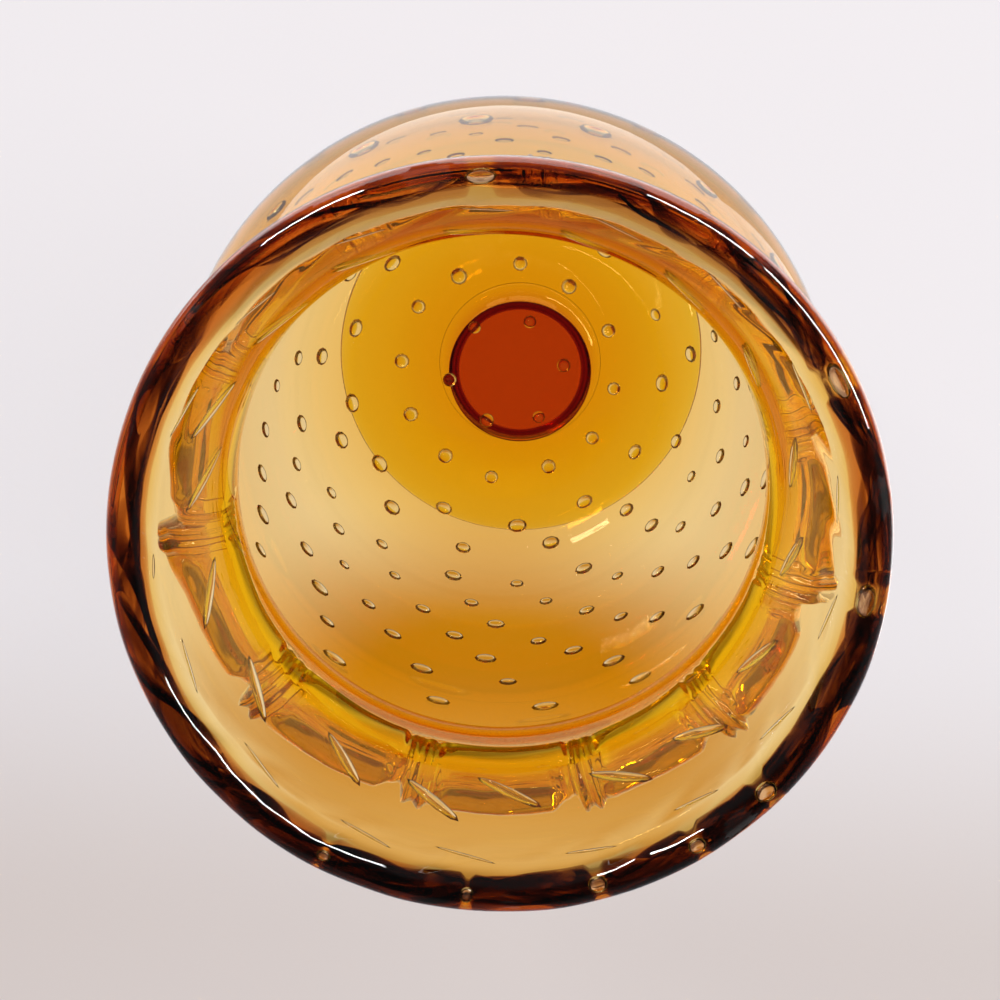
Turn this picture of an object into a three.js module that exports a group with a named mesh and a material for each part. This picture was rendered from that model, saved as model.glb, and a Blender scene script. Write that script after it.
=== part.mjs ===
// Pedestal vase of thick amber glass: a blown bowl with a flared lip and a drawn-in throat, a crimped trail of
// glass wound round the throat as a collar, a short solid stem and a round foot.
// Millimetres, +Z up. The origin lies on the bowl's axis, in the level that the vase stands on.
import * as THREE from "three";

// Driving dimensions: heights are measured from the table, and radii from each piece's own axis.
const HEIGHT = 181.2;

const LIP_RADIUS = 62.8; // outermost point of the lip
const LIP_THICKNESS = 6.4; // fire-polished round bead at the mouth
const LIP_LEAN = 38; // degrees from upright at which the wall reaches the lip
const LIP_SWELL = 0.12; // share of the flare, at its upper end, in which the wall swells to the bead

const THROAT_BORE = 47.8; // inside radius at the narrowest point
const THROAT_HEIGHT = 140;
const THROAT_WALL = 2.2;

const BELLY_RADIUS = 67.8; // outside radius at the widest point
const BELLY_HEIGHT = 90;
const BELLY_WALL = 2.1;

const FLOOR_HEIGHT = 28; // inside of the bowl, on the axis
const FLOOR_FLAT = 30; // radius of the level part of the floor
const FLOOR_THICKNESS = 4.5;
const FLOOR_BLEND = 0.5; // share of the side, at its lower end, in which the floor thins out to the wall

const FOOT_OFF_CENTRE = 3.2; // the hand-set stem and foot stand this far to one side of the bowl's axis
const STEM_TOP_RADIUS = 17.2;
const STEM_WAIST_RADIUS = 14.6;
const STEM_BASE_RADIUS = 20;

const FOOT_RADIUS = 45.4;
const FOOT_CROWN = 11.5; // height of the foot's middle, where the stem stands
const FOOT_EDGE = 5.2; // thickness of its rounded edge
const FOOT_RING_INNER = 27; // the level ring that the vase stands on
const FOOT_RING_OUTER = 41;
const PUNTY_HOLLOW = 1.8; // depth of the hollow polished under the foot

const COLLAR_HEIGHT = 147; // middle of the trail
const COLLAR_DRIFT = 0.9; // the trail climbs and dips by this much on its way round
const COLLAR_START = 2.6; // degrees to the first crimp
const COLLAR_SPACING = [0, 1.8, 3, 4.5, 1.1, -3.4, -4.5, -3.6, -2.7, -1.9, -1]; // degrees off an even spacing
// The trail from one crimp to the next: the share of the way, how far it stands off the neck, and half its height.
// It dips steeply, the jaws pull out two ridges, and then it swells into a bar that thins out again.
const COLLAR_STATIONS = [
  { share: 0, stands: 6.6, half: 6.9 },
  { share: 0.055, stands: 5.8, half: 3.8 },
  { share: 0.1, stands: 10.6, half: 6.2 },
  { share: 0.135, stands: 9.2, half: 4.6 },
  { share: 0.17, stands: 10.8, half: 6 },
  { share: 0.21, stands: 9, half: 4.8 },
  { share: 0.25, stands: 9.4, half: 6.4 },
  { share: 0.34, stands: 8.6, half: 7.4 },
  { share: 0.46, stands: 8.3, half: 7.6 },
  { share: 0.6, stands: 8, half: 7.4 },
  { share: 0.74, stands: 7.7, half: 7.2 },
  { share: 0.88, stands: 7.2, half: 7 },
];

const FUSED_GAP = 0.3; // between the collar and the neck that it is fused to

// Fullness of the bowl's curves: the length of each curve's handle as a share of the span it crosses.
const SIDE_FULLNESS = { floor: 0.58, belly: 0.52 };
const SHOULDER_FULLNESS = { belly: 0.45, throat: 0.42 };
const FLARE_FULLNESS = { throat: 0.45, lip: 0.35 };

// Fineness of the faceted surfaces
const BOWL_SIDES = 60;
const CURVE_STEPS = [9, 8, 17]; // side, shoulder and flare
const BEAD_STEPS = 7;
const FOOT_SIDES = 48;
const STEM_SIDES = 36;
const COLLAR_SECTION_POINTS = 14;

const BELLY_BORE = BELLY_RADIUS - BELLY_WALL;
const BEAD_RADIUS = LIP_THICKNESS / 2;
const BEAD_CENTRE = new THREE.Vector2(LIP_RADIUS - BEAD_RADIUS, HEIGHT - BEAD_RADIUS);
const BOWL_BASE = FLOOR_HEIGHT - FLOOR_THICKNESS;

const at = (radius, height) => new THREE.Vector2(radius, height);

const amber = (color, roughness = 0.04) =>
  new THREE.MeshStandardMaterial({ color, roughness, metalness: 0, transparent: true, opacity: 0.6 });

// A solid of revolution. The profile lists points of radius and height, and starts and ends on the axis.
function turned(name, profile, sides, material) {
  const geometry = new THREE.LatheGeometry(profile, sides);
  geometry.rotateX(Math.PI / 2);
  const mesh = new THREE.Mesh(geometry, material);
  mesh.name = name;
  return mesh;
}

// The inside line of the bowl from the floor's level part to the lip, as three curves end to end.
// Each comes with the wall's thickness at its two ends, and the shares of its way between which it changes.
function insideCurves() {
  const lean = THREE.MathUtils.degToRad(LIP_LEAN);
  const alongLip = at(Math.sin(lean), Math.cos(lean));
  const intoWall = at(-alongLip.y, alongLip.x);
  const lipStart = BEAD_CENTRE.clone().addScaledVector(intoWall, BEAD_RADIUS);
  const sideSpan = at(BELLY_BORE - FLOOR_FLAT, BELLY_HEIGHT - FLOOR_HEIGHT);
  const shoulderSpan = THROAT_HEIGHT - BELLY_HEIGHT;
  const flareSpan = lipStart.y - THROAT_HEIGHT;
  const side = new THREE.CubicBezierCurve(
    at(FLOOR_FLAT, FLOOR_HEIGHT),
    at(FLOOR_FLAT + SIDE_FULLNESS.floor * sideSpan.x, FLOOR_HEIGHT),
    at(BELLY_BORE, BELLY_HEIGHT - SIDE_FULLNESS.belly * sideSpan.y),
    at(BELLY_BORE, BELLY_HEIGHT),
  );
  const shoulder = new THREE.CubicBezierCurve(
    at(BELLY_BORE, BELLY_HEIGHT),
    at(BELLY_BORE, BELLY_HEIGHT + SHOULDER_FULLNESS.belly * shoulderSpan),
    at(THROAT_BORE, THROAT_HEIGHT - SHOULDER_FULLNESS.throat * shoulderSpan),
    at(THROAT_BORE, THROAT_HEIGHT),
  );
  const flare = new THREE.CubicBezierCurve(
    at(THROAT_BORE, THROAT_HEIGHT),
    at(THROAT_BORE, THROAT_HEIGHT + FLARE_FULLNESS.throat * flareSpan),
    lipStart.clone().addScaledVector(alongLip, -FLARE_FULLNESS.lip * flareSpan),
    lipStart,
  );
  return [
    { curve: side, walls: [FLOOR_THICKNESS, BELLY_WALL], from: 0, to: FLOOR_BLEND },
    { curve: shoulder, walls: [BELLY_WALL, THROAT_WALL], from: 0, to: 1 },
    { curve: flare, walls: [THROAT_WALL, LIP_THICKNESS], from: 1 - LIP_SWELL, to: 1 },
  ];
}

// The two skins of the wall, as lists of points from the floor to the lip. The outside is the inside moved out
// square to itself by the wall's thickness, which eases from its value at one end to that at the other.
function wallSkins() {
  const inside = [];
  const outside = [];
  insideCurves().forEach(({ curve, walls, from, to }, index) => {
    for (let step = index ? 1 : 0; step <= CURVE_STEPS[index]; step++) {
      const share = step / CURVE_STEPS[index];
      const point = curve.getPoint(share);
      const along = curve.getTangent(share);
      const wall = THREE.MathUtils.lerp(walls[0], walls[1], THREE.MathUtils.smoothstep(share, from, to));
      inside.push(point);
      outside.push(point.clone().add(at(along.y, -along.x).multiplyScalar(wall)));
    }
  });
  return { inside, outside };
}

// The round bead of the lip, from the outside skin over the top to the inside skin.
function beadArc() {
  const lean = THREE.MathUtils.degToRad(LIP_LEAN);
  const arc = [];
  for (let step = 1; step < BEAD_STEPS; step++) {
    const turn = -lean + (Math.PI * step) / BEAD_STEPS;
    arc.push(at(BEAD_CENTRE.x + BEAD_RADIUS * Math.cos(turn), BEAD_CENTRE.y + BEAD_RADIUS * Math.sin(turn)));
  }
  return arc;
}

function makeBowl(skins) {
  const wall = [...skins.outside, ...beadArc(), ...skins.inside.toReversed()];
  const profile = [at(0, BOWL_BASE), ...wall, at(0, FLOOR_HEIGHT)];
  return turned("bowl", profile, BOWL_SIDES, amber(0xd9962a));
}

// Outside radius of the neck at a height, read off the bowl's outside skin above the belly.
function neckRadius(skins, height) {
  const above = skins.outside.findIndex((point) => point.y > height && point.y > BELLY_HEIGHT);
  const high = skins.outside[above];
  const low = skins.outside[above - 1];
  return THREE.MathUtils.mapLinear(height, low.y, high.y, low.x, high.x);
}

// Degrees round the axis to a crimp. Past the last one it goes on from the first.
function crimpAngle(index) {
  const turns = Math.floor(index / COLLAR_SPACING.length);
  const crimp = index % COLLAR_SPACING.length;
  return COLLAR_START + 360 * (turns + crimp / COLLAR_SPACING.length) + COLLAR_SPACING[crimp];
}

// One cross-section of the collar: a back that follows the neck, and a rounded front.
function collarSection(skins, { stands, half }, middle) {
  const backPoints = 4;
  const frontPoints = COLLAR_SECTION_POINTS - backPoints;
  const section = [];
  for (let step = 0; step < backPoints; step++) {
    const height = middle + half * (1 - (2 * step) / (backPoints - 1));
    section.push(at(neckRadius(skins, height) + FUSED_GAP, height));
  }
  for (let step = 1; step <= frontPoints; step++) {
    const turn = -Math.PI / 2 + (Math.PI * step) / (frontPoints + 1);
    const height = middle + half * Math.sin(turn);
    const bulge = stands * Math.sqrt(Math.cos(turn));
    section.push(at(neckRadius(skins, height) + FUSED_GAP + bulge, height));
  }
  return section;
}

// The collar is its cross-sections set round the axis and skinned, the last one joined to the first.
function makeCollar(skins) {
  const positions = [];
  const faces = [];
  const rings = COLLAR_SPACING.length * COLLAR_STATIONS.length;
  for (let ring = 0; ring < rings; ring++) {
    const crimp = Math.floor(ring / COLLAR_STATIONS.length);
    const station = COLLAR_STATIONS[ring % COLLAR_STATIONS.length];
    const degrees = THREE.MathUtils.lerp(crimpAngle(crimp), crimpAngle(crimp + 1), station.share);
    const angle = THREE.MathUtils.degToRad(degrees);
    const section = collarSection(skins, station, COLLAR_HEIGHT + COLLAR_DRIFT * Math.sin(angle));
    for (const point of section) {
      positions.push(point.x * Math.cos(angle), point.x * Math.sin(angle), point.y);
    }
    const here = ring * section.length;
    const there = ((ring + 1) % rings) * section.length;
    for (let index = 0; index < section.length; index++) {
      const next = (index + 1) % section.length;
      faces.push(here + index, there + next, here + next);
      faces.push(here + index, there + index, there + next);
    }
  }
  const geometry = new THREE.BufferGeometry();
  geometry.setAttribute("position", new THREE.Float32BufferAttribute(positions, 3));
  geometry.setIndex(faces);
  geometry.computeVertexNormals();
  const mesh = new THREE.Mesh(geometry, amber(0xd68a1c));
  mesh.name = "neck_collar";
  return mesh;
}

// The stem draws in below the bowl and spreads on to the foot.
function makeStem() {
  const height = BOWL_BASE - FOOT_CROWN;
  const waist = FOOT_CROWN + 0.62 * height;
  const lower = new THREE.CubicBezierCurve(
    at(STEM_BASE_RADIUS, FOOT_CROWN),
    at(STEM_WAIST_RADIUS + 1.2, FOOT_CROWN + 0.12 * height),
    at(STEM_WAIST_RADIUS, waist - 0.25 * height),
    at(STEM_WAIST_RADIUS, waist),
  );
  const upper = new THREE.QuadraticBezierCurve(
    at(STEM_WAIST_RADIUS, waist),
    at(STEM_WAIST_RADIUS, BOWL_BASE - 0.1 * height),
    at(STEM_TOP_RADIUS, BOWL_BASE),
  );
  const profile = [at(0, FOOT_CROWN), ...lower.getPoints(7), ...upper.getPoints(4).slice(1), at(0, BOWL_BASE)];
  return turned("stem", profile, STEM_SIDES, amber(0xa8380c));
}

// The foot: a level ring to stand on round a shallow polished hollow, a rounded edge, and a crown that rises to
// the stem's base and is level under it.
function makeFoot() {
  const edgeRadius = FOOT_EDGE / 2;
  const crownLevel = STEM_BASE_RADIUS + 0.8;
  const hollow = new THREE.QuadraticBezierCurve(
    at(0, PUNTY_HOLLOW),
    at(0.55 * FOOT_RING_INNER, PUNTY_HOLLOW),
    at(FOOT_RING_INNER, 0),
  );
  const underEdge = new THREE.QuadraticBezierCurve(
    at(FOOT_RING_OUTER, 0),
    at(FOOT_RADIUS, 0),
    at(FOOT_RADIUS, edgeRadius),
  );
  const overEdge = new THREE.CubicBezierCurve(
    at(FOOT_RADIUS, edgeRadius),
    at(FOOT_RADIUS, FOOT_EDGE),
    at(FOOT_RADIUS - FOOT_EDGE, FOOT_EDGE + 0.3),
    at(FOOT_RADIUS - 1.8 * FOOT_EDGE, FOOT_EDGE + 1.1),
  );
  const crown = new THREE.CubicBezierCurve(
    overEdge.v3,
    at(0.65 * FOOT_RADIUS, FOOT_EDGE + 1.9),
    at(crownLevel + 3, FOOT_CROWN - 0.4),
    at(crownLevel, FOOT_CROWN),
  );
  const profile = [
    ...hollow.getPoints(5),
    ...underEdge.getPoints(4),
    ...overEdge.getPoints(6).slice(1),
    ...crown.getPoints(5).slice(1),
    at(0, FOOT_CROWN),
  ];
  return turned("foot", profile, FOOT_SIDES, amber(0xc9760f));
}

const skins = wallSkins();
const vase = new THREE.Group();
vase.name = "pedestal_vase";
const stem = makeStem();
const foot = makeFoot();
for (const piece of [stem, foot]) {
  piece.position.x = -FOOT_OFF_CENTRE;
}
vase.add(makeBowl(skins), makeCollar(skins), stem, foot);

export default vase;
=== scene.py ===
import math

import bmesh
import bpy
from mathutils import Matrix, Vector
from mathutils.geometry import interpolate_bezier


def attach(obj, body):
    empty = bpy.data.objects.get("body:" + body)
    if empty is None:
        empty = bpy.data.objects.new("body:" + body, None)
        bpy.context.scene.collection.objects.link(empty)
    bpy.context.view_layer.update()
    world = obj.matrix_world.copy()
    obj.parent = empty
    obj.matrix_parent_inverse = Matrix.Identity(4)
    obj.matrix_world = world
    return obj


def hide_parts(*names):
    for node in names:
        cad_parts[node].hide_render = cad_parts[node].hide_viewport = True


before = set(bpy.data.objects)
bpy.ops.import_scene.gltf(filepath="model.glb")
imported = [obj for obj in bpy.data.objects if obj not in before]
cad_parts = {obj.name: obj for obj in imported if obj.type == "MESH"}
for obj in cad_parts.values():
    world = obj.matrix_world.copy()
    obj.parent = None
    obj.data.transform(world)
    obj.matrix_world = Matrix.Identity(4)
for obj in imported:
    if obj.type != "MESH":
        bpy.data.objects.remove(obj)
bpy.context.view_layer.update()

MM = 0.001

# Sizes of the vase in millimetres, the same as in the solids

HEIGHT = 181.2
LIP_RADIUS = 62.8
LIP_THICKNESS = 6.4
LIP_LEAN = math.radians(38)
LIP_SWELL = 0.12  # share of the flare in which the wall swells to the lip's round bead
THROAT_BORE = 47.8
THROAT_HEIGHT = 140
THROAT_WALL = 2.2
BELLY_RADIUS = 67.8
BELLY_HEIGHT = 90
BELLY_WALL = 2.1
FLOOR_HEIGHT = 28
FLOOR_FLAT = 30
FLOOR_THICKNESS = 4.5
FLOOR_BLEND = 0.5  # share of the side in which the floor thins out to the wall
BOWL_BASE = FLOOR_HEIGHT - FLOOR_THICKNESS
BELLY_BORE = BELLY_RADIUS - BELLY_WALL

FOOT_OFF_CENTRE = 3.2  # the stem and the foot stand this far to one side of the bowl's axis
STEM_TOP_RADIUS = 17.2
STEM_WAIST_RADIUS = 14.6
STEM_BASE_RADIUS = 20

FOOT_RADIUS = 45.4
FOOT_CROWN = 11.5
FOOT_EDGE = 5.2
FOOT_RING_INNER = 27
FOOT_RING_OUTER = 41
PUNTY_HOLLOW = 1.8

COLLAR_HEIGHT = 147
COLLAR_DRIFT = 0.9
COLLAR_START = 2.6
COLLAR_SPACING = [0, 1.8, 3, 4.5, 1.1, -3.4, -4.5, -3.6, -2.7, -1.9, -1]

ROUND = 288  # steps round the axis
FINE_ROUND = 704  # the same for the collar and the lip's streaks
FOOT_ROUND = 192  # and for the stem and the foot
DOUBLINGS = 4  # a turned piece starts as one sixteenth of the way round, which is then doubled this many times
CLEAR_GLASS = 1.5  # how strongly glass bends light
SEAM = 0.02  # two pieces that are fused hot lie this close, and the skin between them bends no light


def point(radius, height):
    return Vector((radius, 0, height))


def ease(share):
    share = min(max(share, 0), 1)
    return share * share * (3 - 2 * share)


def blend(a, b, share):
    return a + (b - a) * share


# The bowl's wall: three curves for its inside, from the floor to the lip, and the outside set off from them

BEAD_RADIUS = LIP_THICKNESS / 2
BEAD_CENTRE = point(LIP_RADIUS - BEAD_RADIUS, HEIGHT - BEAD_RADIUS)
LIP_ALONG = point(math.sin(LIP_LEAN), math.cos(LIP_LEAN))
LIP_INWARD = point(-LIP_ALONG.z, LIP_ALONG.x)
LIP_START = BEAD_CENTRE + LIP_INWARD * BEAD_RADIUS


def inside_curves():
    across = BELLY_BORE - FLOOR_FLAT
    up = BELLY_HEIGHT - FLOOR_HEIGHT
    shoulder = THROAT_HEIGHT - BELLY_HEIGHT
    flare = LIP_START.z - THROAT_HEIGHT
    return [
        (
            point(FLOOR_FLAT, FLOOR_HEIGHT),
            point(FLOOR_FLAT + 0.58 * across, FLOOR_HEIGHT),
            point(BELLY_BORE, BELLY_HEIGHT - 0.52 * up),
            point(BELLY_BORE, BELLY_HEIGHT),
        ),
        (
            point(BELLY_BORE, BELLY_HEIGHT),
            point(BELLY_BORE, BELLY_HEIGHT + 0.45 * shoulder),
            point(THROAT_BORE, THROAT_HEIGHT - 0.42 * shoulder),
            point(THROAT_BORE, THROAT_HEIGHT),
        ),
        (
            point(THROAT_BORE, THROAT_HEIGHT),
            point(THROAT_BORE, THROAT_HEIGHT + 0.45 * flare),
            LIP_START - LIP_ALONG * 0.35 * flare,
            LIP_START,
        ),
    ]


WALLS = [FLOOR_THICKNESS, BELLY_WALL, THROAT_WALL, LIP_THICKNESS]
WALL_STEPS = [32, 26, 78]


def wall_skins():
    """The inside and the outside of the wall, from the end of the flat floor to the lip."""
    inside, outside = [], []
    for index, curve in enumerate(inside_curves()):
        steps = WALL_STEPS[index]
        points = interpolate_bezier(*curve, steps + 1)
        for step, here in enumerate(points):
            if index and not step:
                continue
            if step == 0:
                along = curve[1] - curve[0]
            elif step == steps:
                along = curve[3] - curve[2]
            else:
                along = points[step + 1] - points[step - 1]
            along.normalize()
            share = (step / steps / FLOOR_BLEND, step / steps, (step / steps - 1) / LIP_SWELL + 1)[index]
            wall = blend(WALLS[index], WALLS[index + 1], ease(share))
            inside.append(here.copy())
            outside.append(here + point(along.z, -along.x) * wall)
    return inside, outside


INSIDE, OUTSIDE = wall_skins()


def neck_radius(height):
    """The outside radius of the neck at a height above the belly."""
    for low, high in zip(OUTSIDE, OUTSIDE[1:]):
        if low.z <= height <= high.z and low.z >= BELLY_HEIGHT:
            return blend(low.x, high.x, (height - low.z) / (high.z - low.z))
    return OUTSIDE[-1].x


def crimp_angle(index):
    turns, crimp = divmod(index, len(COLLAR_SPACING))
    return COLLAR_START + 360 * (turns + crimp / len(COLLAR_SPACING)) + COLLAR_SPACING[crimp]


def crimp_share(degrees):
    """How far a direction round the axis is on its way from one crimp to the next."""
    for index in range(-1, len(COLLAR_SPACING) + 1):
        low, high = crimp_angle(index), crimp_angle(index + 1)
        if low <= degrees < high:
            return (degrees - low) / (high - low)
    return 0


# From one crimp to the next: the share of the way, how far the trail stands off the neck, and half its height
COLLAR_STATIONS = [
    (0, 6.9, 6.9),
    (0.05, 6.7, 5),
    (0.095, 10.4, 6.3),
    (0.14, 9.5, 5.3),
    (0.185, 10.7, 6.1),
    (0.23, 9.1, 5.4),
    (0.28, 9, 6.6),
    (0.36, 8.6, 7.3),
    (0.46, 8.3, 7.5),
    (0.6, 8, 7.4),
    (0.74, 7.8, 7.2),
    (0.9, 7.6, 7.2),
    (1, 6.9, 6.9),
]


def waves(angle, *terms):
    """A slow unevenness round the axis: the sum of terms, each of size, count and start."""
    return sum(size * math.sin(count * angle + start) for size, count, start in terms)


def collar_size(share, angle):
    """How far the trail stands off the neck, and half its height."""
    for low, high in zip(COLLAR_STATIONS, COLLAR_STATIONS[1:]):
        if share <= high[0]:
            break
    part = ease((share - low[0]) / (high[0] - low[0]))
    stands = blend(low[1], high[1], part) * (1 + waves(angle, (0.05, 3, 0.7), (0.04, 7, 2.4)))
    half = blend(low[2], high[2], part) * (1 + waves(angle, (0.05, 5, 1.9), (0.03, 8, 0.2)))
    return stands, half


def collar_middle(angle):
    return COLLAR_HEIGHT + COLLAR_DRIFT * math.sin(angle)


# Corners of the trail's section from its lower to its upper edge on the neck, as shares of its size: squeezed by
# the jaws at a crimp, and a bar with a shallow groove along it between two crimps
CRIMP_CORNERS = [
    (0, -1), (0.45, -0.97), (0.88, -0.72), (1, -0.2), (0.93, 0.45), (0.7, 0.85), (0.45, 0.97), (0.2, 1), (0, 0.8),
]
BAR_CORNERS = [
    (0, -0.9), (0.45, -0.97), (0.9, -0.8), (1, -0.2), (0.96, 0.55), (0.72, 0.98), (0.4, 0.52), (0.22, 0.7), (0, 0.35),
]
GROOVE_CORNER = 6
CORNER_CUTS = (0.17, 0.25, 0.25)  # how much of each side is cut away at its ends, one round after the other


def collar_corners(share, angle):
    """The corners of the section at a share of the way between two crimps, as shares of its size."""
    bar = ease((share - 0.2) / 0.13) * ease((1 - share) / 0.1)
    turn = bar * (0.3 * ease((share - 0.25) / 0.7) - 0.1)
    lean = waves(angle, (0.05, 14, 0.4), (0.04, 23, 2.1))
    hollow = bar * (0.14 * ease(1 - abs(share - 0.72) / 0.2) + 0.07 * ease(1 - abs(share - 0.42) / 0.12))
    corners = []
    for index, (crimp, full) in enumerate(zip(CRIMP_CORNERS, BAR_CORNERS)):
        u, v = (blend(a, b, bar) for a, b in zip(crimp, full))
        dip = hollow if index == GROOVE_CORNER else 0
        corners.append((u + lean * u * (1 - u) * 2, v + turn * u * u - dip))
    return corners


def cut_corners(points, cut):
    """The same line with each corner replaced by two points."""
    cut_line = [points[0]]
    for a, b in zip(points, points[1:]):
        cut_line += [[blend(x, y, cut) for x, y in zip(a, b)], [blend(x, y, 1 - cut) for x, y in zip(a, b)]]
    return cut_line + [points[-1]]


def collar_front(share, angle):
    """The same section with its corners rounded."""
    line = collar_corners(share, angle)
    for cut in CORNER_CUTS:
        line = cut_corners(line, cut)
    return line


# Making the pieces


def finish_piece(bm, name, node, material, fused):
    """Turns a mesh built in millimetres into a finished piece. fused says how far a place is inside a joint."""
    mesh = bpy.data.meshes.new(name)
    ior = [blend(CLEAR_GLASS, 1, fused(v.co)) for v in bm.verts]
    bmesh.ops.scale(bm, vec=(MM, MM, MM), verts=bm.verts)
    bm.to_mesh(mesh)
    bm.free()
    attribute = mesh.attributes.new("glass_ior", "FLOAT", "POINT")
    attribute.data.foreach_set("value", ior)
    mesh.shade_smooth()
    mesh.materials.append(material)
    piece = bpy.data.objects.new(name, mesh)
    bpy.context.scene.collection.objects.link(piece)
    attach(piece, "root")
    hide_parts(node)
    return piece


def turn_profile(bm, profile, steps):
    """Turns a line of points round the axis in so many steps."""
    verts = [bm.verts.new(p) for p in profile]
    edges = [bm.edges.new(pair) for pair in zip(verts, verts[1:])]
    parts = 2**DOUBLINGS
    sector = 2 * math.pi / parts
    bmesh.ops.spin(bm, geom=verts + edges, cent=(0, 0, 0), axis=(0, 0, 1), angle=sector, steps=steps // parts)
    for doubling in range(DOUBLINGS):
        copy = bmesh.ops.duplicate(bm, geom=bm.verts[:] + bm.edges[:] + bm.faces[:])
        turned = [item for item in copy["geom"] if isinstance(item, bmesh.types.BMVert)]
        bmesh.ops.rotate(bm, verts=turned, cent=(0, 0, 0), matrix=Matrix.Rotation(sector * 2**doubling, 3, "Z"))
    bmesh.ops.remove_doubles(bm, verts=bm.verts, dist=1e-3)
    bmesh.ops.recalc_face_normals(bm, faces=bm.faces)


def curve_points(steps, *handles):
    """A curve from the first to the last of four points, which leans towards the two between them."""
    return interpolate_bezier(*handles, steps + 1)


def from_stem(co):
    """How far a place is from the stem's own axis."""
    return math.hypot(co.x + FOOT_OFF_CENTRE, co.y)


def set_off_centre(bm):
    bmesh.ops.translate(bm, vec=(-FOOT_OFF_CENTRE, 0, 0), verts=bm.verts)


def amber(name, color, density, joined=True):
    """Clear glass that colours the light on its way through. Glass that isn't joined bends no light at its skin."""
    material = bpy.data.materials.new(name)
    material.use_nodes = True
    nodes, links = material.node_tree.nodes, material.node_tree.links
    shader = nodes["Principled BSDF"]
    shader.inputs["Base Color"].default_value = (1, 1, 1, 1)
    shader.inputs["Roughness"].default_value = 0
    shader.inputs["IOR"].default_value = CLEAR_GLASS if joined else 1
    shader.inputs["Transmission Weight"].default_value = 1
    if joined:
        attribute = nodes.new("ShaderNodeAttribute")
        attribute.attribute_name = "glass_ior"
        links.new(attribute.outputs["Fac"], shader.inputs["IOR"])
    volume = nodes.new("ShaderNodeVolumeAbsorption")
    volume.inputs["Color"].default_value = (*color, 1)
    volume.inputs["Density"].default_value = density
    links.new(volume.outputs["Volume"], nodes["Material Output"].inputs["Volume"])
    return material


BEAD_STEPS = 16
LIP_UNEVEN = 8  # the lip is a little uneven from here below its start
COLLAR_REACH = 9  # the collar's joint lies within this height above and below its middle
COLLAR_SKIN = 0.2  # the joint ends this far short of the collar's edges


def make_bowl(material):
    bm = bmesh.new()
    bead = []
    for step in range(1, BEAD_STEPS):
        turn = -LIP_LEAN + math.pi * step / BEAD_STEPS
        bead.append(BEAD_CENTRE + point(math.cos(turn), math.sin(turn)) * BEAD_RADIUS)
    under = [point(r, BOWL_BASE) for r in (0, 6, 12, 16.5, 17.1, 17.3, 18, 22, 26)]
    above = [point(r, FLOOR_HEIGHT) for r in (26, 20, 14, 8, 4, 0)]
    turn_profile(bm, under + OUTSIDE + bead + INSIDE[::-1] + above, ROUND)
    for vert in bm.verts:
        if vert.co.z < BOWL_BASE + 0.01:
            vert.co.x -= FOOT_OFF_CENTRE * ease((27 - math.hypot(vert.co.x, vert.co.y)) / 9)
        elif vert.co.z > LIP_START.z - LIP_UNEVEN:
            angle = math.atan2(vert.co.y, vert.co.x)
            part = ease((vert.co.z - LIP_START.z + LIP_UNEVEN) / LIP_UNEVEN)
            drawn = angle + 0.03 * vert.co.z
            inner = waves(drawn, (0.16, 9, 0.3), (0.14, 14, 1.9), (0.1, 23, 4.2), (0.05, 41, 2.2))
            lift = waves(angle, (0.12, 7, 1.1), (0.1, 17, 3.0), (0.05, 29, 0.6)) - 0.2
            near = 1 - ease((math.hypot(vert.co.x, vert.co.y) - LIP_RADIUS + 5) / 5)
            wider = 1 + part * near * inner / 60
            vert.co.x *= wider
            vert.co.y *= wider
            vert.co.z += part * lift
    air = bpy.data.meshes.new("air")
    bubbles = bmesh.new()
    add_bubbles(bubbles)
    bubbles.to_mesh(air)
    bubbles.free()
    bm.from_mesh(air)

    def fused(co):
        if co.z < BOWL_BASE + 0.01:
            return 1 if from_stem(co) < STEM_TOP_RADIUS else 0
        radius = math.hypot(co.x, co.y)
        if abs(co.z - COLLAR_HEIGHT) > COLLAR_REACH or radius < THROAT_BORE + THROAT_WALL - 0.5:
            return 0
        angle = math.atan2(co.y, co.x)
        up = co.z - collar_middle(angle)
        if abs(up) < COLLAR_REACH and radius > neck_radius(co.z) - 0.4:
            share = crimp_share(math.degrees(angle) % 360)
            half = collar_size(share, angle)[1]
            corners = collar_corners(share, angle)
            return 1 if half * corners[0][1] + COLLAR_SKIN < up < half * corners[-1][1] - COLLAR_SKIN else 0
        return 0

    return finish_piece(bm, "blown_bowl", "bowl", material, fused)


# Trapped bubbles: radius on the floor or height up the wall, how many, turn of the first, width and thickness

FLOOR_BUBBLES = [
    (13.3, 6, 10, 3.6, 3.4),
    (26, 12, 26, 3.8, 3.2),
]
WALL_BUBBLES = [
    (29.4, 13, 12, 4.2, 3.2),
    (32.2, 13, 24, 4.6, 3.0),
    (37.6, 18, 36, 3.8, 1.8),
    (42.4, 18, 23.5, 3.8, 1.6),
    (48, 18, 31.5, 3.8, 1.5),
    (53.2, 18, 20, 4.2, 1.4),
    (59.3, 18, 27, 4.6, 1.4),
    (67.5, 18, 34, 5, 1.4),
    (79.5, 18, 39, 5.4, 1.4),
    (92, 18, 47, 5.8, 1.4),
    (105, 18, 56, 6, 1.4),
    (117, 18, 64, 5.6, 1.4),
]


def wobble(*keys):
    """An uneven number from -1 to 1, always the same for the same keys."""
    value = sum(math.sin(12.9898 * key + 4.1 * index + 1.7) * 43758.5453 for index, key in enumerate(keys))
    return 2 * (value - math.floor(value)) - 1


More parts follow.
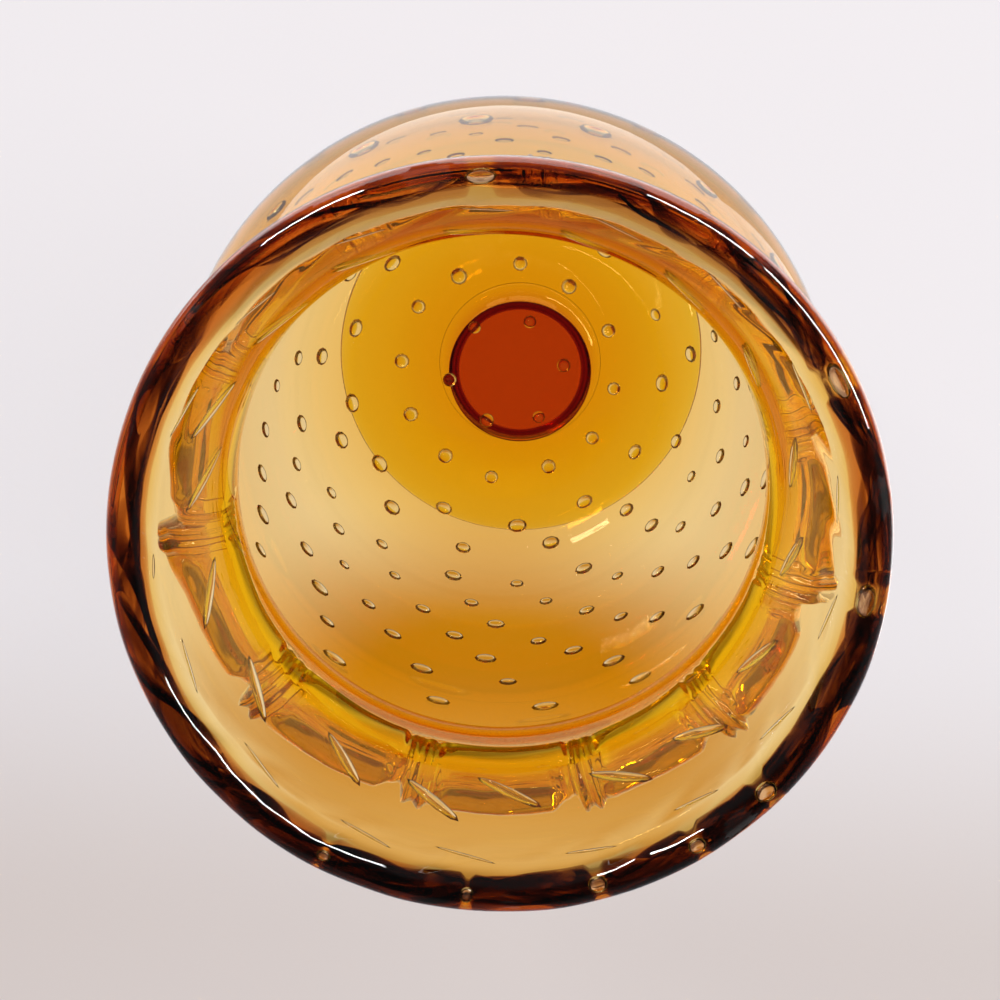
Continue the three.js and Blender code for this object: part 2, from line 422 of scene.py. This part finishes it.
def wall_place(height):
    """The middle of the wall at a height: its radius, its height, its direction up, and its thickness."""
    for index in range(1, len(INSIDE) - 1):
        if INSIDE[index].z <= height <= INSIDE[index + 1].z and INSIDE[index].x > 1:
            share = (height - INSIDE[index].z) / (INSIDE[index + 1].z - INSIDE[index].z)
            inner = INSIDE[index].lerp(INSIDE[index + 1], share)
            outer = OUTSIDE[index].lerp(OUTSIDE[index + 1], share)
            along = (INSIDE[index + 1] - INSIDE[index]).normalized()
            return inner.lerp(outer, 0.5), along, (outer - inner).length
    return None


def add_bubble(bm, middle, along, degrees, width, length, thickness, slant=0):
    """An air bubble: wide round the axis, long up the wall, and thin through it."""
    outward = Vector((along.z, 0, -along.x))
    across = Vector((0, 1, 0))
    axes = Matrix((along, across, outward)).transposed().to_4x4()
    turn = Matrix.Rotation(math.radians(degrees), 4, "Z")
    tilt = Matrix.Rotation(math.radians(slant), 4, "Z")
    size = Matrix.Diagonal((length / 2, width / 2, thickness / 2, 1))
    place = turn @ Matrix.Translation(middle) @ axes @ tilt @ size
    made = bmesh.ops.create_icosphere(bm, subdivisions=2, radius=1, matrix=place)
    faces = {face for vert in made["verts"] for face in vert.link_faces}
    bmesh.ops.reverse_faces(bm, faces=list(faces))


# Bubbles that the flare has drawn out to slits, in two rows: direction round the axis and height of both ends
LONG_SLITS = [
    (9.7, 159.9, 20.4, 169.9), (31, 161, 42, 169), (54.4, 158.7, 64.4, 167.5), (73.1, 160.6, 84.7, 168.6),
    (87.6, 155.3, 100.9, 165.1), (111.1, 158.2, 123.8, 167.1), (130, 160, 142, 168), (149, 159, 161, 166),
    (171, 158, 182, 166), (190, 160, 202, 168), (211, 159, 222, 167), (230, 161, 242, 168), (251, 160, 262, 168),
    (271, 159, 283, 167), (292, 161, 304, 169), (312, 160, 324, 168), (331.9, 164.9, 343.6, 171.9),
    (347.2, 158.3, 357.6, 169.9),
]
FINE_SLITS = [
    (3.1, 177, 7.3, 177.4), (19, 175, 29, 176.5), (41, 175, 51, 176.5), (63.1, 175.3, 73.3, 176.5),
    (80.9, 174.3, 91.9, 176.2), (104.2, 175.5, 113.5, 176.5), (125, 175, 134, 176.3), (145, 175, 154, 176.5),
    (166, 175, 175, 176.2), (187, 175, 196, 176.5), (207, 175, 217, 176.4), (228, 175, 237, 176.5),
    (248, 175, 258, 176.5), (270, 175, 279, 176.3), (291, 175, 300, 176.5), (312, 175, 321, 176.4),
    (333, 175, 343, 176.5),
]
SLIT_WIDTHS = (2.7, 0.6)
# Air in the lip's bead: direction round the axis, radius, and width across and along the bead
LIP_BUBBLES = [
    (175.7, 58.8, 3.4, 5.8), (140.2, 59.2, 3.2, 4.2), (126, 59.4, 2.6, 3.2), (108.7, 59, 3, 3.4),
    (87.2, 59, 2.8, 2.2), (211.3, 59.7, 2.6, 6.4), (275.1, 59.9, 2.4, 5), (63, 59.2, 1.8, 2.4),
]


def add_bubbles(bm):
    for row, (radius, count, first, width, thickness) in enumerate(FLOOR_BUBBLES):
        for index in range(count):
            degrees = first + 360 * index / count + 3 * wobble(row, index)
            size = width * (1 + 0.15 * wobble(row, index, 2))
            middle = point(radius + 0.6 * wobble(row, index, 1), FLOOR_HEIGHT - FLOOR_THICKNESS * 0.5)
            add_bubble(bm, middle, point(1, 0), degrees, size, size, min(thickness, size))
    for row, (height, count, first, width, thickness) in enumerate(WALL_BUBBLES):
        for index in range(count):
            degrees = first + 360 * index / count + 1.5 * wobble(row + 9, index)
            middle, along, wall = wall_place(height + 0.5 * wobble(row + 9, index, 1))
            size = width * (1 + 0.2 * wobble(row + 9, index, 2))
            long = size * (blend(0.72, 0.9, row / 11) if row < 2 else 0.65)
            add_bubble(bm, middle, along, degrees, size, long, min(thickness, wall * 0.68))
    for slits, wide in zip((LONG_SLITS, FINE_SLITS), SLIT_WIDTHS):
        for first, low, last, high in slits:
            middle, along, _wall = wall_place((low + high) / 2)
            round_ = math.radians(last - first) * middle.x
            up = (high - low) / along.z
            slant = -math.degrees(math.atan2(up, round_))
            long = math.hypot(round_, up)
            add_bubble(bm, middle, along, (first + last) / 2, long, wide, 0.4 + 0.15 * wide, slant)
    for degrees, radius, across, along in LIP_BUBBLES:
        thick = 0.5 * across
        middle = point(radius, BEAD_CENTRE.z + BEAD_RADIUS - 0.35 - thick / 2)
        add_bubble(bm, middle, point(1, 0), degrees, along, across, thick)


def in_bead(angle, across, up):
    """A place in the lip's bead, from the middle of its section."""
    radius = BEAD_CENTRE.x + across
    return radius * math.cos(angle), radius * math.sin(angle), BEAD_CENTRE.z + up


def ring_in_bead(sides, steps):
    bm = bmesh.new()
    loop = [BEAD_CENTRE + point(math.cos(t), math.sin(t)) for t in (math.tau * k / sides for k in range(sides))]
    turn_profile(bm, loop + loop[:1], steps)
    return bm


CORE_SIDES = 16
CORE_ROUND = 384
CORE_SKIN = 0.45  # clear glass over the core
PUSHED_ASIDE = 0.6  # share of the painted shade's thickness that gives way to a bubble


def painted_shade_left(angle):
    """What is left of the lip's painted shade here, where air bubbles have pushed it aside: 1 away from them."""
    most = 0
    for degrees, radius, _across, along in LIP_BUBBLES:
        away = abs((math.degrees(angle) - degrees + 180) % 360 - 180)
        most = max(most, ease((along / 2 + 0.3 - math.radians(away) * radius) / 1.4))
    return 1 - PUSHED_ASIDE * most


# Darker glass in the flare that paints in shade: where its middle is, how far it reaches to each side of it,
# and how thick it is there
FLARE_SHADE_ANGLE = math.radians(270)
FLARE_SHADE_REACH = math.radians(62)
FLARE_SHADE_HEIGHT = 174
FLARE_SHADE_RISE = 5.7
FLARE_SHADE_THICKNESS = 1.9


def add_flare_painted_shade(bm):
    """A thin lens of darker glass in the wall of the flare, on the camera's side, that paints in the shade seen
    through it.
    """
    made = bmesh.ops.create_uvsphere(bm, u_segments=96, v_segments=48, radius=1)
    for vert in made["verts"]:
        round_, up, through = vert.co
        middle, along, _wall = wall_place(FLARE_SHADE_HEIGHT + FLARE_SHADE_RISE * up)
        place = middle + Vector((along.z, 0, -along.x)) * FLARE_SHADE_THICKNESS / 2 * through * abs(through)
        angle = FLARE_SHADE_ANGLE + FLARE_SHADE_REACH * round_
        vert.co = (place.x * math.cos(angle), place.x * math.sin(angle), place.z)


def make_lip_painted_shade_core(material):
    """A core of darker glass inside the lip's bead, which paints in the shade of the dark room seen in the thick lip;
    the flare's lens is added with it.
    """
    bm = ring_in_bead(CORE_SIDES, CORE_ROUND)
    for vert in bm.verts:
        angle = math.atan2(vert.co.y, vert.co.x)
        across = math.hypot(vert.co.x, vert.co.y) - BEAD_CENTRE.x
        thick = BEAD_RADIUS - CORE_SKIN + waves(angle, (0.12, 8, 0.4), (0.1, 19, 1.2))
        thick *= painted_shade_left(angle)
        vert.co = in_bead(angle, thick * across + 0.15, thick * (vert.co.z - BEAD_CENTRE.z))
    add_flare_painted_shade(bm)
    bmesh.ops.recalc_face_normals(bm, faces=bm.faces)
    return finish_piece(bm, "lip_painted_shade_core", "bowl", material, lambda co: 1)


# Dark streaks in the lip that paint in shade: how often each winds round the bead's middle, where it starts,
# its half width and thickness
LIP_STREAKS = [
    (9, 0.2, 1.35, 0.4),
    (9, 2.5, 1.1, 0.5),
    (8, 4.3, 1.0, 0.35),
    (-6, 1.2, 1.2, 0.3),
    (7, 5.6, 0.8, 0.3),
    (1, 4.28, 1.5, 0.45),
]
STREAK_SIDES = 12
STREAK_SKIN = 0.25  # clear glass that stays over the streaks
STREAK_TWIST = 0.6  # how much a streak turns over while it winds once round the bead's middle


def make_lip_painted_shade_streaks(material):
    """Thin, almost black streaks of painted shade in the bead, thick and thin by turns, which turn over on their way
    round.
    """
    bm = bmesh.new()
    for turns, start, half_width, half_thick in LIP_STREAKS:
        streak = ring_in_bead(STREAK_SIDES, FINE_ROUND)
        for vert in streak.verts:
            angle = math.atan2(vert.co.y, vert.co.x)
            turn = math.atan2(vert.co.z - BEAD_CENTRE.z, math.hypot(vert.co.x, vert.co.y) - BEAD_CENTRE.x)
            winding = turns * angle + start + waves(angle, (0.9, 4, start), (0.5, 9, 2 * start), (0.2, 17, start))
            wide = half_width + waves(angle, (0.45, 1, 6), (0.3, 7, start), (0.25, 13, 3 * start))
            wide *= painted_shade_left(angle)
            flat = half_thick + waves(
                angle, (0.28, 1, 6), (0.15, 5, start), (0.16, 11, 2 * start), (0.1, 23, start)
            )
            flat *= painted_shade_left(angle)
            x, y = wide * math.cos(turn), max(flat, 0.05) * math.sin(turn)
            twist = STREAK_TWIST * winding
            across = 1.25 * math.cos(winding) + x * math.cos(twist) - y * math.sin(twist)
            up = 0.9 * math.sin(winding) + x * math.sin(twist) + y * math.cos(twist)
            inside = min(1, (BEAD_RADIUS - STREAK_SKIN) / max(math.hypot(across, up), 0.001))
            vert.co = in_bead(angle, across * inside, up * inside)
        one = bpy.data.meshes.new("streak")
        streak.to_mesh(one)
        streak.free()
        bm.from_mesh(one)
    return finish_piece(bm, "lip_painted_shade_streaks", "bowl", material, lambda co: 1)


COLLAR_BACK = 12  # steps of the collar's section that lie on the neck
PATH_RADIUS = 60  # the collar starts as a plain ring this wide, whose corners are then put in place


def make_collar(material):
    bm = bmesh.new()
    back = COLLAR_BACK
    count = back + len(collar_front(0, 0)) - 2
    turns = [2 * math.pi * k / count for k in range(count)]
    loop = [point(PATH_RADIUS + math.cos(turn), math.sin(turn)) for turn in turns]
    turn_profile(bm, loop + loop[:1], FINE_ROUND)
    known = {}
    for vert in bm.verts:
        angle = math.atan2(vert.co.y, vert.co.x)
        turn = math.atan2(vert.co.z, math.hypot(vert.co.x, vert.co.y) - PATH_RADIUS)
        spot = round(count * turn / (2 * math.pi)) % count
        key = round(angle, 4)
        if key not in known:
            share = crimp_share(math.degrees(angle) % 360)
            known[key] = (*collar_size(share, angle), collar_front(share, angle))
        stands, half, front = known[key]
        u, v = (0, blend(front[-1][1], front[0][1], spot / back)) if spot <= back else front[spot - back]
        height = collar_middle(angle) + half * v
        radius = neck_radius(height) + SEAM + stands * u
        vert.co = (radius * math.cos(angle), radius * math.sin(angle), height)

    def fused(co):
        return 1 if math.hypot(co.x, co.y) < neck_radius(co.z) + 3 * SEAM else 0

    return finish_piece(bm, "crimped_collar", "neck_collar", material, fused)


def make_stem(material):
    height = BOWL_BASE - FOOT_CROWN
    waist = FOOT_CROWN + 0.62 * height
    top, bottom = BOWL_BASE - SEAM, FOOT_CROWN + SEAM
    lower = curve_points(
        20,
        point(STEM_BASE_RADIUS, bottom),
        point(STEM_WAIST_RADIUS + 1.2, FOOT_CROWN + 0.12 * height),
        point(STEM_WAIST_RADIUS, waist - 0.25 * height),
        point(STEM_WAIST_RADIUS, waist),
    )
    upper = curve_points(
        12,
        point(STEM_WAIST_RADIUS, waist),
        point(STEM_WAIST_RADIUS, waist + 0.18 * height),
        point(STEM_TOP_RADIUS - 0.9, BOWL_BASE - 0.07 * height),
        point(STEM_TOP_RADIUS, top),
    )
    bm = bmesh.new()
    under = [point(r, bottom) for r in (0, 6, 12, 17, STEM_BASE_RADIUS - 0.15)]
    above = [point(r, top) for r in (STEM_TOP_RADIUS - 0.15, 12, 6, 0)]
    turn_profile(bm, under + lower + upper[1:] + above, FOOT_ROUND)
    set_off_centre(bm)

    def fused(co):
        if co.z > top - 0.01:
            return 1 if from_stem(co) < STEM_TOP_RADIUS - 0.05 else 0
        if co.z < bottom + 0.01:
            return 1 if from_stem(co) < STEM_BASE_RADIUS - 0.05 else 0
        return 0

    return finish_piece(bm, "short_stem", "stem", material, fused)


def make_foot(material):
    rim = FOOT_EDGE / 2
    crown = STEM_BASE_RADIUS + 0.8
    hollow = curve_points(
        16,
        point(0, PUNTY_HOLLOW),
        point(0.37 * FOOT_RING_INNER, PUNTY_HOLLOW),
        point(0.7 * FOOT_RING_INNER, 0.6 * PUNTY_HOLLOW),
        point(FOOT_RING_INNER, 0),
    )
    under = curve_points(
        10,
        point(FOOT_RING_OUTER, 0),
        point(FOOT_RADIUS - 1, 0),
        point(FOOT_RADIUS, 0.3 * rim),
        point(FOOT_RADIUS, rim),
    )
    shoulder = point(FOOT_RADIUS - 1.8 * FOOT_EDGE, FOOT_EDGE + 1.1)
    over = curve_points(
        16,
        point(FOOT_RADIUS, rim),
        point(FOOT_RADIUS, FOOT_EDGE),
        point(FOOT_RADIUS - FOOT_EDGE, FOOT_EDGE + 0.3),
        shoulder,
    )
    rise = curve_points(
        16,
        shoulder,
        point(0.65 * FOOT_RADIUS, FOOT_EDGE + 1.9),
        point(crown + 3, FOOT_CROWN - 0.4),
        point(crown, FOOT_CROWN),
    )
    top = [point(r, FOOT_CROWN) for r in (STEM_BASE_RADIUS + 0.1, STEM_BASE_RADIUS - 0.1, 12, 6, 0)]
    bm = bmesh.new()
    turn_profile(bm, hollow + under + over[1:] + rise[1:] + top, FOOT_ROUND)
    set_off_centre(bm)

    def fused(co):
        if co.z > FOOT_CROWN - 0.01:
            return 1 if from_stem(co) < STEM_BASE_RADIUS else 0
        return 0

    return finish_piece(bm, "round_foot", "foot", material, fused)


make_bowl(amber("amber bowl glass", (0.955, 0.73, 0), 450))
# Darker glass in the lip and the flare, which paints in shade
make_lip_painted_shade_core(amber("dark amber painted shade glass", (0.77, 0.36, 0.1), 330, False))
# Nearly black streaks in the lip, which paint in more shade
make_lip_painted_shade_streaks(amber("black painted shade glass", (0.4, 0.2, 0.1), 3500, False))
make_collar(amber("amber collar glass", (0.985, 0.91, 0), 380))
make_stem(amber("amber stem glass", (0.915, 0.693, 0), 600))
make_foot(amber("amber foot glass", (0.98, 0.9, 0), 480))


# The studio: a pale floor, two windows, four lamps that only the glass mirrors, and the camera over the mouth

FLOOR_RADIUS = 3
FLOOR_DROP = 0.0003  # the floor lies this far under the foot
FLOOR_COLOR = (0.82, 0.80, 0.80, 1)
# Of the next two, the first is the evenly pale floor, and the second a painted shadow: the vase's shadow, painted on
# the floor towards the bottom of the picture
FLOOR_FAR = (0.87, 0.83, 0.86, 1)  # as the camera sees it, at the top and at the bottom of the picture
FLOOR_IN_PAINTED_SHADOW = (0.69, 0.61, 0.59, 1)
EVENNESS = 0.85  # share of these in what the camera sees, the rest being lit by the lamps
THROUGH_GLASS = (0.92, 0.83, 0.79, 1)  # as it shows through the glass
# Painted light and shade on the floor as it shows through the glass: the amber light, a fainter patch of it, and a
# cooler shade
AMBER_LIGHT = (0.62, 0.3, 0.01, 1)  # the amber light that the glass throws on it
FAINT_AMBER_LIGHT = (0.78, 0.53, 0.27, 1)
COOL_SHADE = (0.6, 0.56, 0.6, 1)
MIRRORED = (0.9, 0.88, 0.92, 1)

ROOM_LEVEL = (0.15, 0.15, 0.15, 1)
ROOM_ABOVE = (0.05, 0.047, 0.045, 1)
ROOM_SHOWS = 3.8  # how much paler the room shows than what lights the vase


def feed(tree, socket, value):
    """Joins a socket to another node's output, or gives it a plain value."""
    if isinstance(value, bpy.types.NodeSocket):
        tree.links.new(value, socket)
    else:
        socket.default_value = value


def soft_step(tree, value, start, end, low=0, high=1):
    """A smooth change from low to high, while a value goes from start to end."""
    step = tree.nodes.new("ShaderNodeMapRange")
    step.interpolation_type = "SMOOTHSTEP"
    feed(tree, step.inputs["Value"], value)
    for name, number in (("From Min", start), ("From Max", end), ("To Min", low), ("To Max", high)):
        step.inputs[name].default_value = number
    return step.outputs["Result"]


def distance(tree, place, moved=(0, 0, 0), scaled=(1, 1, 1)):
    """How far a place is from the middle, once it is scaled and moved."""
    spot = tree.nodes.new("ShaderNodeMapping")
    spot.inputs["Location"].default_value = moved
    spot.inputs["Scale"].default_value = scaled
    length = tree.nodes.new("ShaderNodeVectorMath")
    length.operation = "LENGTH"
    tree.links.new(place, spot.inputs["Vector"])
    tree.links.new(spot.outputs["Vector"], length.inputs[0])
    return length.outputs["Value"]


def mixed_color(tree, share, a, b):
    mix = tree.nodes.new("ShaderNodeMix")
    mix.data_type = "RGBA"
    for name, value in (("Factor", share), ("A", a), ("B", b)):
        feed(tree, mix.inputs[name], value)
    return mix.outputs["Result"]


def mixed_shader(tree, share, a, b):
    mix = tree.nodes.new("ShaderNodeMixShader")
    for socket, output in zip(mix.inputs, (share, a, b)):
        tree.links.new(output, socket)
    return mix.outputs[0]


def worked_out(tree, operation, a, b):
    """Two numbers made one, which stays from 0 to 1."""
    work = tree.nodes.new("ShaderNodeMath")
    work.operation = operation
    work.use_clamp = True
    for socket, value in zip(work.inputs, (a, b)):
        feed(tree, socket, value)
    return work.outputs[0]


def glow(tree, color, strength=1):
    emission = tree.nodes.new("ShaderNodeEmission")
    feed(tree, emission.inputs["Color"], color)
    feed(tree, emission.inputs["Strength"], strength)
    return emission.outputs[0]


def floor_material():
    material = bpy.data.materials.new("pale floor")
    material.use_nodes = True
    tree = material.node_tree
    shader = tree.nodes["Principled BSDF"]
    shader.inputs["Base Color"].default_value = FLOOR_COLOR
    shader.inputs["Roughness"].default_value = 0.9
    shader.inputs["Specular IOR Level"].default_value = 0
    rays = tree.nodes.new("ShaderNodeLightPath").outputs
    place = tree.nodes.new("ShaderNodeTexCoord").outputs["Object"]
    split = tree.nodes.new("ShaderNodeSeparateXYZ")
    tree.links.new(place, split.inputs[0])
    # Through the glass it shows painted amber light that the glass throws on the side away from the window,
    # a fainter painted patch of it farther off, which shows through the flare, and on the camera's side a painted
    # cooler shade
    thrown = soft_step(tree, distance(tree, place, (0, -1.52, 0), (10, 15.5, 0)), 1, 0.35)
    faint = soft_step(tree, distance(tree, place, (0, -1.5, 0), (6.2, 6, 0)), 1, 0.6)
    shaded = soft_step(tree, split.outputs["Y"], -0.04, -0.08)
    color = mixed_color(tree, thrown, THROUGH_GLASS, AMBER_LIGHT)
    color = mixed_color(tree, faint, color, FAINT_AMBER_LIGHT)
    color = mixed_color(tree, shaded, color, COOL_SHADE)
    # Mirrored in the glass from outside, it is plain and pale, and it darkens far from the vase
    outside = worked_out(tree, "SUBTRACT", rays["Is Glossy Ray"], rays["Is Transmission Ray"])
    color = mixed_color(tree, outside, color, MIRRORED)
    in_glass = glow(tree, color, soft_step(tree, distance(tree, place), 0.2, 0.5, 1, 0.3))
    # The camera sees it almost evenly pale, as a glow with the vase's shadow painted in, and a little of it lit by
    # the lamps
    picture = glow(tree, mixed_color(tree, soft_step(tree, split.outputs["Y"], 0.06, 0.17), FLOOR_FAR, FLOOR_IN_PAINTED_SHADOW))
    even = worked_out(tree, "MULTIPLY", rays["Is Camera Ray"], EVENNESS)
    plain = mixed_shader(tree, even, shader.outputs[0], picture)
    seen = worked_out(tree, "MAXIMUM", rays["Is Transmission Ray"], rays["Is Glossy Ray"])
    surface = mixed_shader(tree, seen, plain, in_glass)
    tree.links.new(surface, tree.nodes["Material Output"].inputs["Surface"])
    return material


def make_floor():
    bm = bmesh.new()
    bmesh.ops.create_circle(bm, cap_ends=True, segments=64, radius=FLOOR_RADIUS)
    mesh = bpy.data.meshes.new("floor")
    bm.to_mesh(mesh)
    bm.free()
    mesh.materials.append(floor_material())
    floor = bpy.data.objects.new("floor", mesh)
    floor.location.z = -FLOOR_DROP
    bpy.context.scene.collection.objects.link(floor)


def make_light(name, place, size, power, aim=(0, 0, 0.1), mirrored_only=False, through_glass=False):
    lamp = bpy.data.lights.new(name, "AREA")
    lamp.shape = "RECTANGLE"
    lamp.size, lamp.size_y = size
    lamp.energy = power
    light = bpy.data.objects.new(name, lamp)
    light.location = place
    light.rotation_euler = (Vector(aim) - Vector(place)).to_track_quat("-Z", "Y").to_euler()
    light.visible_camera = not mirrored_only
    light.visible_transmission = through_glass
    bpy.context.scene.collection.objects.link(light)


def make_world():
    world = bpy.data.worlds.new("studio")
    world.use_nodes = True
    tree = world.node_tree
    background = tree.nodes["Background"]
    split = tree.nodes.new("ShaderNodeSeparateXYZ")
    tree.links.new(tree.nodes.new("ShaderNodeTexCoord").outputs["Generated"], split.inputs[0])
    ramp = tree.nodes.new("ShaderNodeValToRGB")
    low, high = ramp.color_ramp.elements
    low.position, low.color = 0.5, ROOM_LEVEL
    high.position, high.color = 0.75, ROOM_ABOVE
    tree.links.new(split.outputs["Z"], ramp.inputs["Fac"])
    tree.links.new(ramp.outputs["Color"], background.inputs["Color"])
    # The room behind the vase and through its glass shows paler than what lights it
    rays = tree.nodes.new("ShaderNodeLightPath").outputs
    seen = worked_out(tree, "MAXIMUM", rays["Is Transmission Ray"], rays["Is Camera Ray"])
    tree.links.new(soft_step(tree, seen, 0, 1, 1, ROOM_SHOWS), background.inputs["Strength"])
    bpy.context.scene.world = world


make_floor()
make_world()
make_light("window", (-0.85, -0.61, 0.75), (1.25, 0.13), 22)
make_light("far window", (0.64, -0.83, 0.8), (0.3, 0.12), 8, through_glass=True)
make_light("light table", (0, -0.38, 0.002), (0.9, 0.5), 3, aim=(0, -0.38, 1), mirrored_only=True)
make_light("left card", (0.33, -0.63, 0.1), (0.3, 0.2), 0.5, aim=(0.33, 0, 0.1), mirrored_only=True)
make_light("right card", (-0.15, -0.63, 0.1), (0.6, 0.2), 0.9, aim=(-0.15, 0, 0.1), mirrored_only=True)
make_light("side table", (-0.3, -0.02, 0.002), (0.34, 0.22), 0.4, aim=(-0.3, -0.02, 1), mirrored_only=True)

# The camera, as fitted to the rings of the vase in the picture: it leans over the mouth, almost upside down
TILT = math.radians(15.07)
ROLL = math.radians(182.57)
AIMED_AT = Vector((0, 0, 0.178))
STANDS_OFF = Vector((0.00015, 0.00864, 0.2875))

camera = bpy.data.cameras.new("camera")
camera.lens = 64.8
camera.sensor_width = 36
camera.clip_start = 0.01
eye = bpy.data.objects.new("camera", camera)
turn = Matrix.Rotation(TILT, 3, "X") @ Matrix.Rotation(ROLL, 3, "Z")
eye.rotation_euler = turn.to_euler()
eye.location = AIMED_AT + turn @ STANDS_OFF
bpy.context.scene.collection.objects.link(eye)
bpy.context.scene.camera = eye

# Light passes many skins of glass and air before it reaches the camera
GLASS_BOUNCES = 24

scene = bpy.context.scene
scene.view_settings.view_transform = "Standard"
scene.cycles.max_bounces = GLASS_BOUNCES
scene.cycles.transmission_bounces = GLASS_BOUNCES
scene.cycles.glossy_bounces = GLASS_BOUNCES // 2
